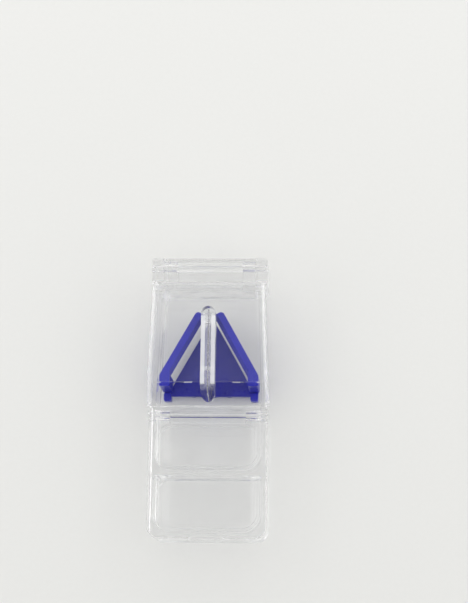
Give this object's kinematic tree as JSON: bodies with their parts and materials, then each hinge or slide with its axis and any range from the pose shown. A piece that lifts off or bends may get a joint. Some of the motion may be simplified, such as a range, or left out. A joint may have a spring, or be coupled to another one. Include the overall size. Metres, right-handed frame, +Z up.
{
  "type": "pill splitter",
  "caption": "Clear pill splitter: hinged lid with a blade over a V-shaped tablet holder, and lidded tablet wells in front.",
  "frame": {"origin": "middle of the footprint on the underside", "axes": "+Z up, +Y towards the cutter hinge at the back, X across"},
  "size_m": [0.0412, 0.097, 0.025],
  "materials": {
    "clear_plastic": "clear polished polystyrene",
    "blue_plastic": "satin moulded",
    "blade_steel": "ground"
  },
  "bodies": {
    "tray": {"base_tray": "clear_plastic", "tablet_holder": "blue_plastic", "cutter_hinge_pin": "clear_plastic", "storage_hinge_pin": "clear_plastic"},
    "cutter_lid_body": {"cutter_lid": "clear_plastic", "blade_holder": "clear_plastic", "blade": "blade_steel", "blade_rivets": "clear_plastic"},
    "storage_lid_body": {"storage_lid": "clear_plastic"},
    "right_arm_body": {"grip_arm_right": "blue_plastic"},
    "left_arm_body": {"grip_arm_left": "blue_plastic"}
  },
  "joints": [
    {"name": "cutter_lid_hinge", "type": "hinge", "parent": "tray", "child": "cutter_lid_body", "pos_m": [0, 0.044, 0.0185], "axis": [-1, 0, 0], "range_deg": [0, 180]},
    {"name": "storage_lid_hinge", "type": "hinge", "parent": "tray", "child": "storage_lid_body", "pos_m": [0, -0.0063, 0.017], "axis": [-1, 0, 0], "range_deg": [0, 95]},
    {"name": "right_arm_flex", "type": "hinge", "parent": "tray", "child": "right_arm_body", "pos_m": [0.015, 0.0056, 0.01], "axis": [0, 0, -1], "range_deg": [0, 4], "stiffness_Nm_per_rad": 0.08},
    {"name": "left_arm_flex", "type": "hinge", "parent": "tray", "child": "left_arm_body", "pos_m": [-0.015, 0.0056, 0.01], "axis": [0, 0, 1], "range_deg": [0, 4], "stiffness_Nm_per_rad": 0.08}
  ]
}
